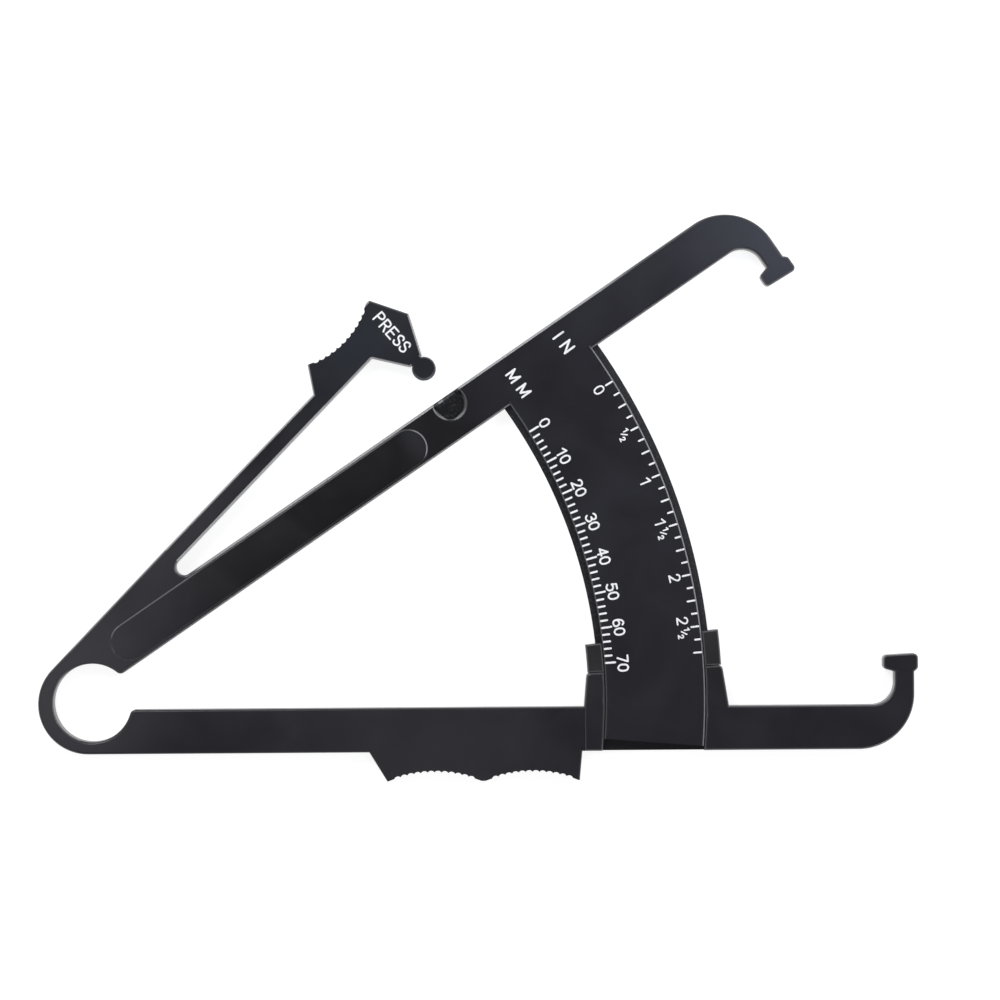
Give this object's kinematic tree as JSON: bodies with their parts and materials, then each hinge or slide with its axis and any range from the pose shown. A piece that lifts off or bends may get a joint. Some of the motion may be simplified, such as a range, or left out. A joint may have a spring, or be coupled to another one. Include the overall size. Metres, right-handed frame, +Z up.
{
  "type": "skinfold caliper",
  "caption": "Flat black plastic skinfold caliper: hooked arms on a C-spring, press lever with click disc, arc scale in a lipped guide and a reading slide.",
  "frame": {"origin": "middle of the footprint, on the surface that the caliper lies on", "axes": "+Z up through the printed front, +X along the lower arm from the spring to the jaw, +Y towards the upper arm"},
  "size_m": [0.16, 0.1028, 0.004],
  "materials": {
    "black_plastic": "satin black moulded plastic with white printed graduations",
    "slide_plastic": "satin black moulded plastic"
  },
  "bodies": {
    "lower_arm": {"hinge_spring": "black_plastic", "lower_bar": "black_plastic", "finger_grip": "black_plastic", "scale_guide": "black_plastic", "lower_hook": "black_plastic", "lower_jaw_pad": "black_plastic"},
    "upper_arm": {"upper_bar": "black_plastic", "scale_plate": "black_plastic", "upper_hook": "black_plastic", "upper_jaw_pad": "black_plastic"},
    "press_lever": {"press_beam": "black_plastic", "thumb_head": "black_plastic", "click_disc": "black_plastic"},
    "slide": {"reading_slide": "slide_plastic"}
  },
  "joints": [
    {"name": "jaw_hinge", "type": "hinge", "parent": "lower_arm", "child": "upper_arm", "pos_m": [-0.07015, -0.03668, 0], "axis": [0, 0, -1], "range_deg": [0, 28.1], "stiffness_Nm_per_rad": 0.3},
    {"name": "lever_flex", "type": "hinge", "parent": "upper_arm", "child": "press_lever", "pos_m": [-0.05446, -0.01105, 0], "axis": [0, 0, -1], "range_deg": [0, 7.87], "stiffness_Nm_per_rad": 1},
    {"name": "slide_track", "type": "hinge", "parent": "upper_arm", "child": "slide", "pos_m": [-0.07015, -0.03668, 0], "axis": [0, 0, 1], "range_deg": [0, 28.1]}
  ],
  "couplings": [
    {"joint": "slide_track", "follows": "jaw_hinge", "ratio": 1}
  ]
}
